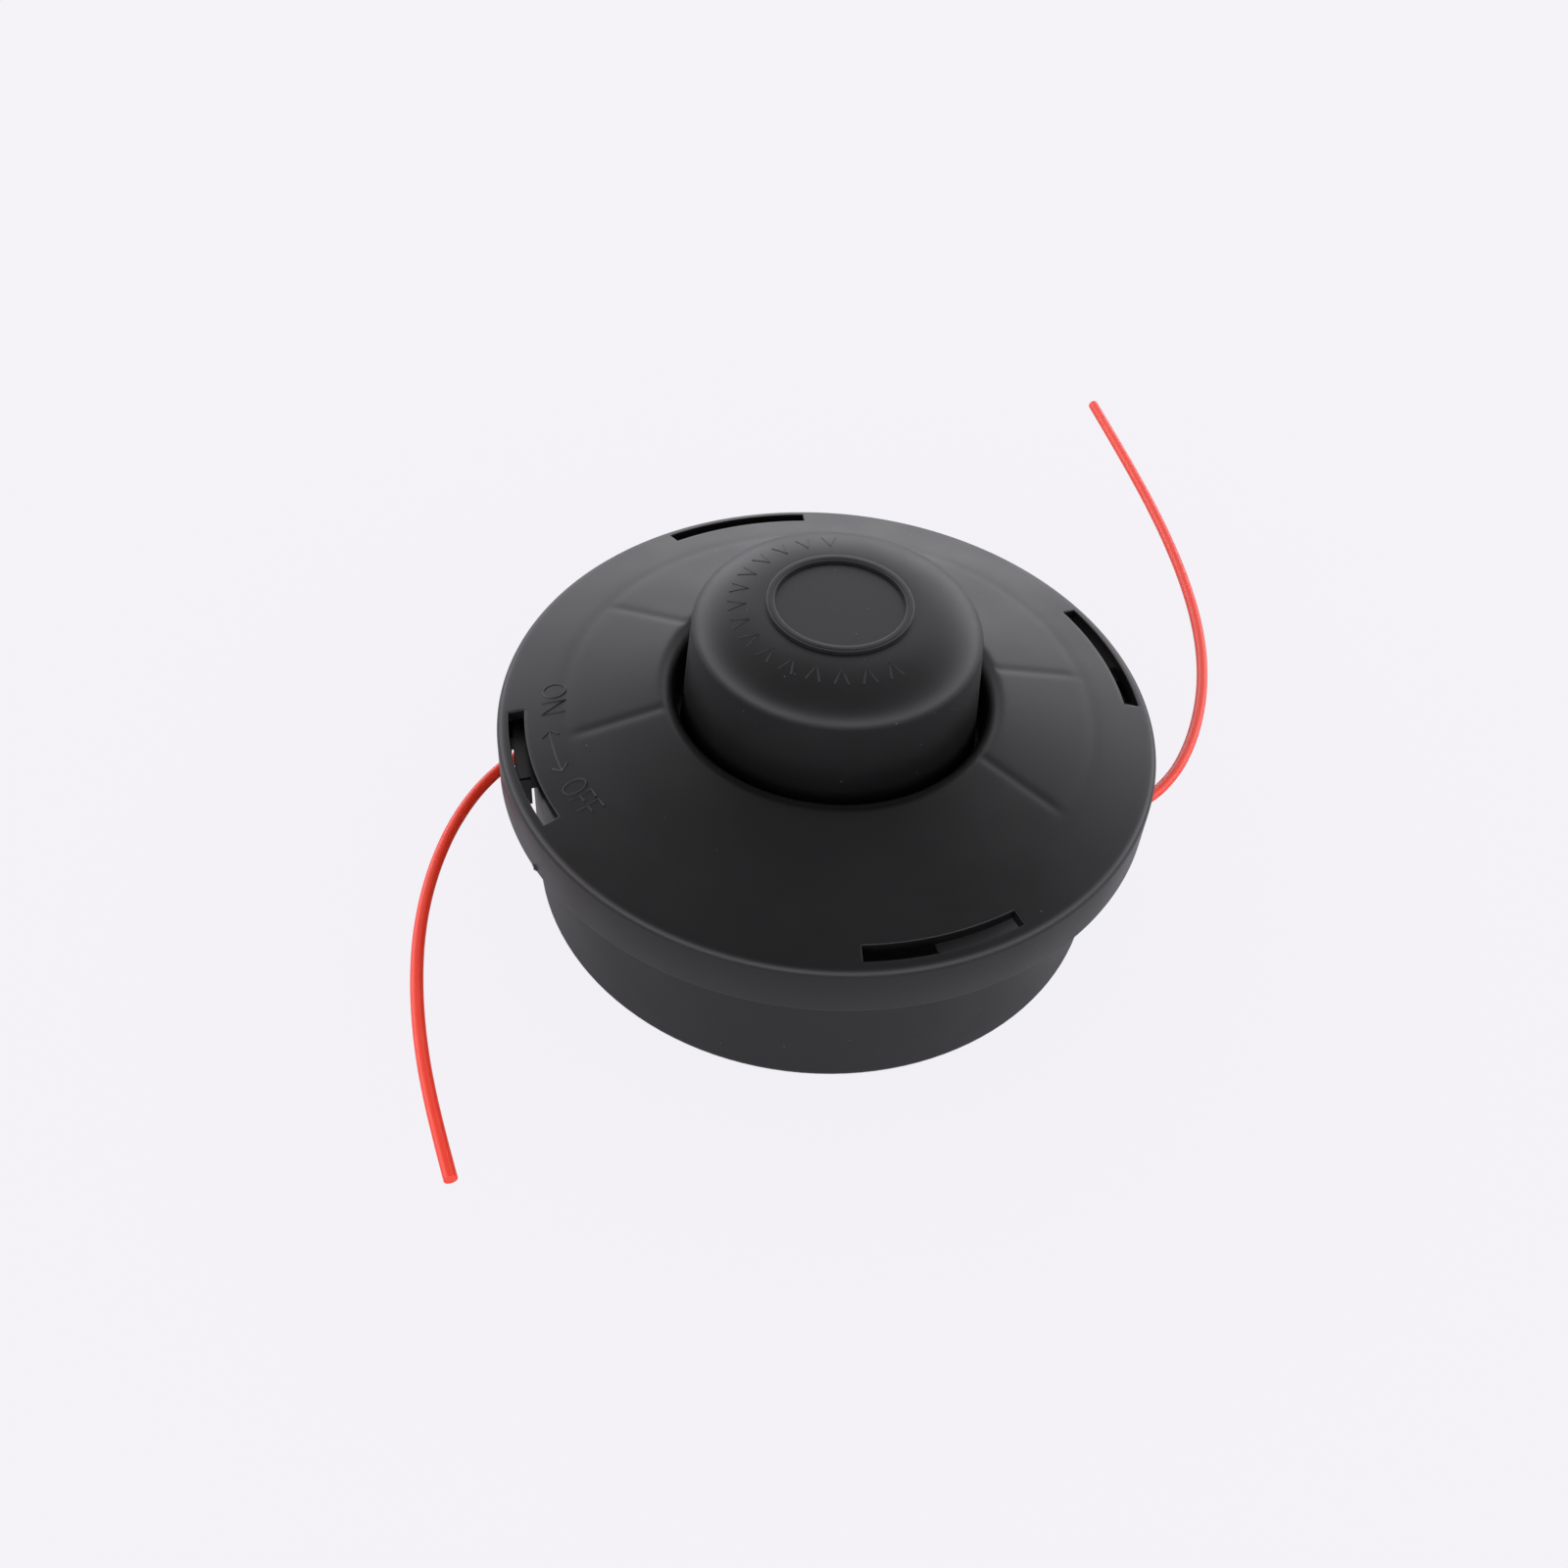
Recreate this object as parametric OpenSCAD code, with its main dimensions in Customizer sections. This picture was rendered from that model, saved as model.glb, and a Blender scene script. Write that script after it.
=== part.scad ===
// Bump-feed trimmer head, shown as it is stored: drive side down, bump knob up.
// Millimetres. Z runs along the spin axis from the drive side to the knob.
// The origin is the centre of the drive side.

/* [Overall] */
// Radius of the cover at its lower edge
cover_r = 64.2; // [58:0.2:72]
// Gap between the housing wall and the cover's skirt
skirt_gap = 3.9; // [3.4:0.1:4.6]
// Gap between the spool's flanges and the inside of the housing wall
flange_gap = 4.9; // [4:0.1:6]
// Clearance between pieces that move past each other
clear = 0.3; // [0.2:0.05:0.4]

/* [Housing] */
// Thickness of the housing wall
wall = 2.6; // [2:0.1:3.2]
// Thickness of the housing floor
floor_t = 3; // [2.4:0.1:4]
// Rounding of the housing's foot
foot_round = 2; // [1:0.1:2.4]
// How much the wall draws in from the cover's edge down to the foot
wall_draft = 0.4; // [0.1:0.1:1]
// Depth of the recess under the floor
recess_d = 1.2; // [0.6:0.1:1.5]
// Number of ribs in the recess under the floor
floor_ribs = 8; // [4:1:12]
// Width of a rib under the floor
floor_rib_w = 2.4; // [1.6:0.1:3.2]
// Radius of the post that the spool slides on
post_r = 14; // [13.4:0.1:15]
// Radius of the hollow in the post
post_bore_r = 11.6; // [11:0.1:12]

/* [Arbor nut] */
// Radius of the threaded bore, M10 x 1.25 left hand
thread_r = 4.32; // [3.3:0.01:5.2]
// Width of the hexagon across its flats
hex_af = 17; // [15:0.5:18]
// Height of the hexagon
hex_h = 12; // [9:0.5:14]
// Thickness of the nut's flange
nut_flange_t = 2; // [1.5:0.1:3]

/* [Bayonet] */
// Number of bayonet lugs and of slots over them
lugs = 4; // [3:1:4]
// Direction of the first slot's ON end, in degrees
slot_start = 9.6; // [4:0.2:16]
// Angle that a slot spans
slot_span = 28.2; // [26:0.2:32]
// Angle that a lug inside the skirt spans, stop included
cover_lug_span = 18; // [16:0.5:20]
// Angle of the stop at the lug's OFF end
stop_span = 3.8; // [3:0.2:5]
// Angle that the housing's lug starts before the slot
lug_lead = 3.2; // [1:0.2:5]
// Height of a bayonet lug
lug_t = 3.2; // [2.6:0.1:3.4]

/* [Cover] */
// Wall of the cover
cover_t = 2.3; // [1.8:0.1:2.8]
// Height of the skirt up to the sharp corner of the rim
skirt_h = 10.6; // [10.2:0.1:12]
// Slope of the cover's face, in degrees
face_angle = 13.2; // [10:0.2:16]
// Rounding of the rim
rim_round = 1.8; // [0.8:0.1:2.2]
// Rounding of the lip round the knob
lip_round = 3; // [1.6:0.1:3.4]
// Height of the cover's rim corner over the spool
face_gap = 4.8; // [4.4:0.1:6]
// Width of a rib under the cover
rib_w = 1.6; // [1.2:0.1:2.4]
// Angle from a line eyelet to the cover rib beside it
rib_angle = 22; // [16:1:24]
// Height of the ring that centres the cover in the housing
centring_h = 2.4; // [1.6:0.1:2.8]

/* [Knob] */
// Radius of the knob at its foot
knob_r = 29.1; // [28:0.1:31]
// Height of the knob over the spool
knob_h = 32.8; // [28:0.2:38]
// Height of the shoulder under the top of the knob
crown_h = 6.8; // [5:0.2:9]
// How much the knob draws in from its foot to its shoulder
knob_draft = 1.8; // [1:0.1:2.4]
// Wall of the knob
knob_t = 2.5; // [2:0.1:3]
// Gap between the knob's foot and the cover's lip
knob_gap = 0.9; // [0.6:0.1:1.2]
// Outer radius of the ring on top of the knob
ring_r = 13.7; // [10:0.1:16]
// Width of that ring
ring_w = 1.6; // [1:0.1:2.4]
// Height of that ring
ring_h = 0.8; // [0.4:0.1:1.2]

/* [Index teeth] */
// Travel of the bump knob
stroke = 6.5; // [5:0.1:7]
// Number of index teeth in each ring
teeth = 6; // [5:1:6]
// Angle that an index tooth spans
tooth_span = 8; // [6:0.2:8.2]
// Height of an index tooth
tooth_h = 3.2; // [2.6:0.1:3.4]
// Direction of the cover's first dog, in degrees
dog_dir = 22; // [21.6:0.1:24]
// Direction of the floor's first tooth, in degrees
floor_tooth_dir = -9.6; // [-12:0.1:-9.4]

/* [Spool and line] */
// Thickness of a spool flange
flange_t = 1.8; // [1.4:0.1:2.4]
// Wall of the spool's core and guide tube
core_t = 2.2; // [1.6:0.1:2.6]
// Diameter of the trimmer line
line_d = 2.4; // [1.6:0.1:2.6]
// Turns of line that lie over each other on the spool's height
rows = 8; // [6:2:8]
// Outer radius of the wound line
wound_r = 43.8; // [34:0.2:44]

/* [Spring] */
// Diameter of the spring wire
wire_d = 1.6; // [1.2:0.1:1.8]
// Turns of the spring
coils = 7; // [5:1:8]
// Gap between the spring and the tubes on both sides of it
spring_gap = 1.7; // [1.4:0.1:2.2]
// Thickness of the washer on the spring
washer_t = 1; // [0.8:0.1:1.5]

/* [Eyelets] */
// Direction of the right eyelet, in degrees
eyelet_dir = -4; // [-6:0.5:-2]
// Radius of an eyelet's throat
throat_r = 3.6; // [3.4:0.05:3.8]
// Rounding of an eyelet's mouths
flare_r = 2; // [1.6:0.1:2.1]
// Wall of the metal eyelet
eyelet_t = 1.2; // [1:0.1:1.4]
// Height of the eyelets under the cover's edge
eyelet_drop = 6.4; // [6:0.1:7]

/* [Hidden] */
$fn = 96;
eps = 0.01;

// Colours
black_plastic = "#1c1c1e";
grey_plastic = "#3a3a3d";
line_red = "#fb4a33";
steel = "#a9abad";

// Radii, from the cover inwards
skirt_in = cover_r - cover_t;
housing_r = skirt_in - skirt_gap;
foot_r = housing_r - wall_draft;
housing_in = housing_r - wall;
flange_r = housing_in - flange_gap;
lug_side = 0.6;
lug_in = housing_r + 1.2;
slot_in = lug_in - clear;
opening_r = knob_r + knob_gap;
collar_r = opening_r + 2.2;
dog_r = collar_r + 6.3;
guide_in = post_r + clear;
guide_r = guide_in + core_t;
spring_r = guide_r + spring_gap + wire_d / 2;
core_in = spring_r + wire_d / 2 + spring_gap;
core_r = core_in + core_t;

// Heights, from the floor up
floor_gap = 0.5;
spool_z = floor_t + floor_gap + tooth_h + stroke;
chamber_z = spool_z + flange_t;
play = 0.2;
chamber_h = rows * line_d + play;
web_z = chamber_z + chamber_h;
spool_top = web_z + flange_t;
corner_z = spool_top + face_gap;
seam_z = corner_z - skirt_h;
eyelet_z = seam_z - eyelet_drop;
collar_z = spool_top + clear;
rib_z = spool_top + tooth_h + 2.5 * clear;
post_top = spool_top + 2;
seat_gap = 0.1;

// Outside and underside of the cover's face at a radius
function face_z(r) = corner_z + (cover_r - r) * tan(face_angle);
function under_z(r) = face_z(r) - cover_t / cos(face_angle);
housing_top = under_z(housing_r) - 2 * clear;
cover_lug_z = seam_z + 1;
housing_lug_z = cover_lug_z + lug_t + clear;

// Points of an arc round a centre [x, y], both ends included
function arc(c, r, a0, a1, n = 8) =
    [for (i = [0:n]) let (a = a0 + (a1 - a0) * i / n) [c[0] + r * cos(a), c[1] + r * sin(a)]];

// A sector of a ring between two radii, from direction a0 over the angle span
module sector(r0, r1, a0, span, z, h) {
    rotate([0, 0, a0])
        translate([0, 0, z])
            rotate_extrude(angle = span)
                translate([r0, 0])
                    square([r1 - r0, h]);
}

// A tube with its lower face at z
module tube(r0, r1, z, h) {
    translate([0, 0, z])
        rotate_extrude()
            translate([r0, 0])
                square([r1 - r0, h]);
}

// Places its child at one of a number of equal steps round the axis
module step(i, n, first = 0) {
    rotate([0, 0, first + i * 360 / n])
        children();
}

// Housing: bowl, post and floor teeth, in one moulding
bump_pad = 18;
foot_ring_w = 7;
module housing_bowl() {
    rotate_extrude()
        polygon(concat(
            [[0, 0]],
            arc([foot_r - foot_round, foot_round], foot_round, -90, 0),
            [[housing_r, seam_z], [housing_r, housing_top], [housing_in, housing_top],
             [housing_in, seam_z], [foot_r - wall, floor_t + foot_round / 2],
             [foot_r - wall - foot_round / 2, floor_t], [0, floor_t]]));
}

module floor_recess() {
    difference() {
        tube(bump_pad, foot_r - foot_ring_w, -eps, recess_d + eps);
        for (i = [0:floor_ribs - 1])
            step(i, floor_ribs)
                translate([0, -floor_rib_w / 2, -1])
                    cube([foot_r, floor_rib_w, recess_d + 2]);
    }
}

module housing_lug() {
    span = cover_lug_span - stop_span - lug_side;
    sector(housing_in + wall / 2, skirt_in - lug_side, slot_start - lug_lead, span + lug_lead,
           housing_lug_z, lug_t);
}

// Distances along an eyelet's axis
eyelet_face = housing_r - 0.5;
pad_face = eyelet_face - wall;
flange_e = 0.8;
eyelet_mid = eyelet_face - wall / 2;
tube_r = throat_r + eyelet_t;
eyelet_rim = throat_r + flare_r + 1;

module along_eyelet(dir, from, len, r) {
    rotate([0, 0, dir])
        translate([from, 0, eyelet_z])
            rotate([0, 90, 0])
                cylinder(r = r, h = len);
}

module housing() {
    color(black_plastic)
        difference() {
            union() {
                housing_bowl();
                cylinder(r = post_r, h = hex_h);
                tube(post_bore_r, post_r, hex_h - eps, post_top - hex_h + eps);
                tube(core_in - spring_gap + clear, core_in, floor_t - eps, 1.5);
                for (i = [0:lugs - 1])
                    step(i, lugs)
                        housing_lug();
                for (i = [0:teeth - 1])
                    step(i, teeth, floor_tooth_dir - tooth_span / 2)
                        sector(core_r + 1.5, core_r + 8, 0, tooth_span, floor_t - eps, tooth_h + eps);
                for (dir = [eyelet_dir, eyelet_dir + 180])
                    along_eyelet(dir, pad_face, wall - eps, eyelet_rim + 0.6);
            }
            floor_recess();
            translate([0, 0, -1])
                cylinder(r = (hex_af + seat_gap) / 2 / cos(30), h = hex_h + 2, $fn = 6);
            for (dir = [eyelet_dir, eyelet_dir + 180]) {
                along_eyelet(dir, pad_face - 1, wall + 4, tube_r + seat_gap / 2);
                along_eyelet(dir, eyelet_face, 4, eyelet_rim + 0.3);
            }
        }
}

// Arbor nut: hexagon let into the floor, flange inside the post
module arbor_nut() {
    chamfer = 0.6;
    color(steel)
        difference() {
            union() {
                cylinder(r = hex_af / 2 / cos(30), h = hex_h, $fn = 6);
                translate([0, 0, hex_h])
                    cylinder(r = post_bore_r - seat_gap, h = nut_flange_t);
            }
            translate([0, 0, -1])
                cylinder(r = thread_r, h = hex_h + nut_flange_t + 2);
            for (end = [0, 1])
                translate([0, 0, end * (hex_h + nut_flange_t)])
                    mirror([0, 0, end])
                        translate([0, 0, -eps])
                            cylinder(r1 = thread_r + chamfer + eps, r2 = thread_r, h = chamfer + eps);
        }
}

// Eyelet: turned metal bush with a flange on both sides of the wall
module eyelet(dir) {
    half = wall / 2;
    edge = half + flange_e;
    flare = min(flare_r, edge);
    color(steel)
        rotate([0, 0, dir])
            translate([eyelet_mid, 0, eyelet_z])
                rotate([0, 90, 0])
                    rotate_extrude()
                        polygon(concat(
                            arc([throat_r + flare, flare - edge], flare, 270, 180),
                            arc([throat_r + flare, edge - flare], flare, 180, 90),
                            [[eyelet_rim, edge], [eyelet_rim, half], [tube_r, half],
                             [tube_r, -half], [eyelet_rim, -half], [eyelet_rim, -edge]]));
}

// Spring: round wire swept along a helix with closed end turns
spring_z0 = floor_t + seat_gap;
spring_z1 = web_z - washer_t - 2 * seat_gap;
wire_sides = 8;
turn_steps = 20;
function rise(t) = t < 1 ? t * wire_d
    : t > coils - 1 ? spring_len - (coils - t) * wire_d
    : wire_d + (t - 1) * (spring_len - 2 * wire_d) / (coils - 2);
spring_len = spring_z1 - spring_z0 - wire_d;
module spring() {
    steps = coils * turn_steps;
    points = [for (i = [0:steps]) for (j = [0:wire_sides - 1])
        let (t = i / turn_steps, a = 360 * t, b = 360 * j / wire_sides,
             r = spring_r + wire_d / 2 * cos(b))
        [r * cos(a), r * sin(a), spring_z0 + wire_d / 2 + rise(t) + wire_d / 2 * sin(b)]];
    color(steel)
        polyhedron(points, sweep_faces(steps, wire_sides), convexity = 10);
}

// Faces of a sweep of rings, with both ends closed
function sweep_faces(steps, sides) = concat(
    [[for (j = [0:sides - 1]) j]],
    [for (i = [0:steps - 1]) for (j = [0:sides - 1]) let (k = (j + 1) % sides)
        [i * sides + j, (i + 1) * sides + j, (i + 1) * sides + k, i * sides + k]],
    [[for (j = [sides - 1:-1:0]) steps * sides + j]]);

// Spring washer: flat ring that the spool turns on
module spring_washer() {
    color(steel)
        tube(guide_r + 2 * clear, core_in - clear, web_z - washer_t - seat_gap, washer_t);
}

// Spool: core, guide tube, two flanges and index teeth on both ends
collar_h = 5;
snap_r = knob_r - knob_t - 2 * clear;
snap_t = 1.9;
snap_w = 9;
snap_z = spool_top + 1.5;
snap_h = 2.4;
snaps = 4;
notch_w = 3;
notch_d = 6;
module spool() {
    color(grey_plastic)
        difference() {
            union() {
                tube(guide_in, guide_r, spool_z, spool_top - spool_z);
                tube(core_in, core_r, spool_z, spool_top - spool_z);
                tube(core_in, flange_r, spool_z, flange_t);
                tube(guide_in, flange_r, web_z, flange_t);
                tube(snap_r - snap_t, snap_r, spool_top - eps, collar_h + eps);
                for (i = [0:teeth - 1])
                    step(i, teeth, -tooth_span / 2) {
                        sector(core_r + 1.5, core_r + 8, 0, tooth_span, spool_z - tooth_h, tooth_h + eps);
                        sector(collar_r + 3 * clear, dog_r - clear, 0, tooth_span,
                               spool_top - eps, tooth_h + eps);
                    }
            }
            for (i = [0:snaps - 1])
                step(i, snaps, 45)
                    translate([snap_r - snap_t - 1, -snap_w / 2, snap_z])
                        cube([snap_t + 2, snap_w, snap_h]);
            for (side = [0, 180])
                rotate([0, 0, 90 + side])
                    translate([flange_r - notch_d, 0, web_z - 1]) {
                        cylinder(r = notch_w / 2, h = flange_t + 2);
                        translate([0, -notch_w / 2, 0])
                            cube([notch_d + 1, notch_w, flange_t + 2]);
                    }
        }
}

// Wound line: half of the spool's height each, with its turns showing outside
module wound_line(half) {
    n = rows / 2;
    z0 = chamber_z + play / 2 + half * n * line_d;
    inner = core_r + seat_gap / 2;
    turn_r = (line_d - seat_gap) / 2;
    color(line_red)
        rotate_extrude()
            polygon(concat(
                [[inner, z0 + seat_gap / 2]],
                [for (i = [0:n - 1])
                    each arc([wound_r - line_d / 2, z0 + (i + 0.5) * line_d], turn_r, -90, 90, 6)],
                [[inner, z0 + n * line_d - seat_gap / 2]]));
}

// Knob: domed cup with a ring on top, snapped onto the spool's collar
shoulder_r = knob_r - knob_draft;
shoulder_z = spool_top + knob_h - crown_h;
knob_top = spool_top + knob_h;
crown_steps = 12;
// Quarter ellipse from the shoulder to the ring's foot
function crown(inset, n = crown_steps) = [for (i = [0:n]) let (a = 90 * i / n)
    [ring_r + (shoulder_r - inset - ring_r) * cos(a),
     shoulder_z + (crown_h - ring_h - inset) * sin(a)]];
module knob() {
    bore = knob_r - knob_t;
    straight_z = spool_top + collar_h + 2;
    rib_n = 6;
    color(black_plastic) {
        rotate_extrude()
            polygon(concat(
                [[knob_r - 0.6, spool_top], [knob_r, spool_top + 0.6]],
                crown(0),
                [[ring_r, knob_top - 0.3], [ring_r - 0.3, knob_top],
                 [ring_r - ring_w + 0.3, knob_top], [ring_r - ring_w, knob_top - 0.3],
                 [ring_r - ring_w, knob_top - ring_h], [0, knob_top - ring_h],
                 [0, knob_top - ring_h - knob_t]],
                [for (i = [crown_steps:-1:0]) crown(knob_t)[i]],
                [[bore, straight_z], [bore, spool_top]]));
        for (i = [0:rib_n - 1])
            step(i, rib_n, 30)
                intersection() {
                    translate([ring_r - 3, -1, knob_top - knob_t - crown_h - 3])
                        cube([knob_r, 2, crown_h + 3]);
                    rotate_extrude()
                        polygon(concat([[0, straight_z], [bore + eps, straight_z]],
                                       crown(knob_t - eps), [[0, knob_top - ring_h - knob_t + eps]]));
                }
        for (i = [0:snaps - 1])
            step(i, snaps, 45)
                intersection() {
                    translate([snap_r - snap_t, -snap_w / 2 + clear, snap_z + clear])
                        cube([snap_t + 3 * clear + knob_t / 2, snap_w - 2 * clear, snap_h - 2 * clear]);
                    tube(snap_r - snap_t + clear, bore + knob_t / 2, snap_z, snap_h);
                }
    }
}

// Cover: face and skirt, lip, bayonet lugs, dogs and ribs, in one moulding
centring_r = flange_r + 2.7;
centring_t = 1.8;
module cover_shell() {
    // Centres of the roundings, each tangent to the sloping face
    rim_c = [cover_r - rim_round, corner_z - rim_round * tan((90 - face_angle) / 2)];
    lip_c = [opening_r + lip_round, face_z(opening_r + lip_round) - lip_round / cos(face_angle)];
    rotate_extrude()
        polygon(concat(
            [[cover_r, seam_z + 0.3], [cover_r - 0.3, seam_z], [skirt_in, seam_z],
             [skirt_in, under_z(skirt_in)]],
            [[collar_r, under_z(collar_r)], [collar_r, collar_z], [opening_r, collar_z]],
            arc(lip_c, lip_round, 180, 90 - face_angle),
            arc(rim_c, rim_round, 90 - face_angle, 0)));
}

// A straight rib under the face between two radii, down to height z
module cover_rib(dir, r0, r1, z, w) {
    intersection() {
        rotate([0, 0, dir])
            translate([r0, -w / 2, z])
                cube([r1 - r0, w, corner_z]);
        cover_underfill();
    }
}

// The space that ribs, rings and dogs may fill under the face
module cover_underfill() {
    rotate_extrude()
        polygon([[collar_r - eps, 0], [skirt_in + eps, 0], [skirt_in + eps, under_z(skirt_in) + eps],
                 [collar_r - eps, under_z(collar_r) + eps]]);
}

// A lug inside the skirt, with the stop that stands on its OFF end
module cover_lug() {
    shelf_span = cover_lug_span - stop_span;
    out = skirt_in + cover_t / 2;
    sector(lug_in, out, 0, shelf_span + 0.1, cover_lug_z, lug_t);
    sector(lug_in, out, shelf_span, stop_span, cover_lug_z, 2 * lug_t);
}

module cover() {
    color(black_plastic)
        difference() {
            union() {
                cover_shell();
                intersection() {
                    union() {
                        tube(centring_r - centring_t, centring_r, housing_top - centring_h, corner_z);
                        for (i = [0:teeth - 1])
                            step(i, teeth, dog_dir - tooth_span / 2)
                                sector(collar_r - eps, dog_r, 0, tooth_span, spool_top + 1.5 * clear, corner_z);
                    }
                    cover_underfill();
                }
                for (side = [eyelet_dir, eyelet_dir + 180]) {
                    for (turn = [-rib_angle, rib_angle])
                        cover_rib(side + turn, collar_r - eps, centring_r - eps, rib_z, rib_w);
                    cover_rib(side, centring_r - eps, skirt_in + eps, housing_top + clear, rib_w);
                }
                for (i = [0:lugs - 1])
                    step(i, lugs, slot_start)
                        cover_lug();
            }
            for (i = [0:lugs - 1])
                step(i, lugs, slot_start)
                    sector(slot_in, skirt_in, 0, slot_span, housing_lug_z + lug_t, knob_top);
        }
}

// Line tails: points of each route, from beside the wound line out through the eyelet
route_right = [[41, -20.5, 22], [45.5, -15, 22], [50.5, -9, 22], [56, -4, 21.9], [61.5, -0.5, 21.6],
    [66, 3.5, 21.3], [71, 9, 21.1], [74.5, 14.5, 21], [78.5, 25.5, 21], [81.5, 38, 21],
    [82.5, 51.5, 21], [82, 65, 21], [80, 78.5, 20.9], [77.5, 92.5, 20.8], [74, 106.5, 20.7],
    [70, 120.5, 20.6], [65.5, 135, 20.5], [61, 149.5, 20.4]];
route_left = [[-41, 20.5, 22], [-45.5, 14.5, 22], [-50.5, 9, 22], [-56, 4, 21.9], [-61, -0.5, 21.6],
    [-65.5, -6, 21.3], [-69, -13, 21.1], [-71.5, -23, 21], [-72, -32.5, 21], [-72, -42, 21],
    [-71, -51, 21], [-69, -60, 21], [-66.5, -68.5, 20.9], [-64, -76.5, 20.9], [-60.5, -84, 20.8],
    [-57.5, -91, 20.8], [-53.5, -99, 20.7]];
tail_sides = 8;

// Smooth curve through the route, in parts between each two of its points
function knot(p, i) = p[max(0, min(len(p) - 1, i))];
function smooth_at(p, i, t) = let (a = knot(p, i - 1), b = knot(p, i), c = knot(p, i + 1), d = knot(p, i + 2))
    b + (c - a) * t / 2 + (2 * a - 5 * b + 4 * c - d) * t * t / 2 + (3 * b - a - 3 * c + d) * t * t * t / 2;
function smooth(p, parts) = concat(
    [for (i = [0:len(p) - 2]) for (k = [0:parts - 1]) smooth_at(p, i, k / parts)], [p[len(p) - 1]]);
function unit(v) = v / norm(v);
module line_tail(route) {
    parts = 2;
    path = smooth(route, parts);
    points = [for (i = [0:len(path) - 1])
        let (along = unit(path[min(i + 1, len(path) - 1)] - path[max(i - 1, 0)]),
             side = unit(cross([0, 0, 1], along)), up = cross(along, side))
        for (j = [0:tail_sides - 1]) let (b = 360 * j / tail_sides)
            path[i] + line_d / 2 * (cos(b) * side + sin(b) * up)];
    color(line_red)
        polyhedron(points, sweep_faces(len(path) - 1, tail_sides), convexity = 4);
}

housing();
arbor_nut();
eyelet(eyelet_dir);  // eyelet_right
eyelet(eyelet_dir + 180);  // eyelet_left
spring();
spring_washer();
spool();
wound_line(1);  // wound_line_right
wound_line(0);  // wound_line_left
knob();
cover();
line_tail(route_right);  // line_tail_right
line_tail(route_left);  // line_tail_left
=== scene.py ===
"""Bump-feed trimmer head: black moulded nylon with two orange red line tails.

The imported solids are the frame, and this file dresses them. It models the cover and the
knob with their moulded marks, the arbor nut with its thread and the line tails, gives
every piece its finish, and sets up the floor, the light and the camera.
Lengths are in metres, written as millimetres times MM, and angles are in degrees.
"""

import logging
import math
from collections.abc import Callable, Iterable, Iterator, Sequence
from contextlib import contextmanager
from dataclasses import dataclass, field
from enum import Enum
from typing import Any

import bmesh
import bpy
from mathutils import Matrix, Vector

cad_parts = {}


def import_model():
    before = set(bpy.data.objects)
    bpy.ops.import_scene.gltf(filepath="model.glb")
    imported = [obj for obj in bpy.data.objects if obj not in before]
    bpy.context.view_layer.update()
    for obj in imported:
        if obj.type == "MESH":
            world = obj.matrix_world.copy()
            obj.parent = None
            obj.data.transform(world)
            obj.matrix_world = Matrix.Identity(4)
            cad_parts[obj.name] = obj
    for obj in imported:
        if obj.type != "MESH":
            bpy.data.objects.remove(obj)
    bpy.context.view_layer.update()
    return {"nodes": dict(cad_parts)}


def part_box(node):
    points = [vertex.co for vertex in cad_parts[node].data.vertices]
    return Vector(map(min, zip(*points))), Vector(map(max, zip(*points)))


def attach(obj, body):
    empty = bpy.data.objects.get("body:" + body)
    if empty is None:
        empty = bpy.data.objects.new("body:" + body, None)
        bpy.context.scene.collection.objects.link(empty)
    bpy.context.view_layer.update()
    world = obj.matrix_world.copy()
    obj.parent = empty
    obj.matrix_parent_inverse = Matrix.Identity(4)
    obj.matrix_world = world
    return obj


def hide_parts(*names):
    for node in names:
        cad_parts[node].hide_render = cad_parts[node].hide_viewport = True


log = logging.getLogger("trimmer_head")

MM = 0.001
Flat = tuple[float, float]
Point = tuple[float, float, float]
Piece = bpy.types.Object


class Body(str, Enum):
    """The moving bodies that pieces ride on."""

    HOUSING = "housing_body"
    WASHER = "washer_body"
    SPOOL = "spool_body"
    COVER = "cover_body"


# Placing and selecting


def polar(radius: float, degrees: float, z: float = 0.0) -> Vector:
    """The point at a radius and a direction round the spin axis."""
    angle = math.radians(degrees)
    return Vector((radius * math.cos(angle), radius * math.sin(angle), z))


def radius_of(point: Vector) -> float:
    """How far a point lies from the spin axis."""
    return math.hypot(point.x, point.y)


def direction_of(point: Vector) -> float:
    """The direction of a point round the spin axis, from 0 to 360 degrees."""
    return math.degrees(math.atan2(point.y, point.x)) % 360.0


def arc(centre: Flat, radius: float, start: float, end: float, parts: int = 8) -> list[Flat]:
    """Points of an arc, both ends included.

    Args:
        centre: centre of the arc.
        radius: its radius.
        start: direction of its first point.
        end: direction of its last point.
        parts: number of parts that the arc is divided into.

    Returns:
        The points, in order.
    """
    angles = [math.radians(start + (end - start) * i / parts) for i in range(parts + 1)]
    return [(centre[0] + radius * math.cos(a), centre[1] + radius * math.sin(a)) for a in angles]


def between(start: float, end: float, parts: int) -> list[float]:
    """Even steps from start to end, both included."""
    return [start + (end - start) * i / parts for i in range(parts + 1)]


# Modelling by hand tools


def deselect_all() -> None:
    """Leaves nothing selected and nothing active."""
    bpy.ops.object.select_all(action="DESELECT")
    bpy.context.view_layer.objects.active = None


def activate(piece: Piece) -> None:
    """Selects one piece alone and makes it the active one."""
    deselect_all()
    piece.select_set(True)
    bpy.context.view_layer.objects.active = piece


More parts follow.
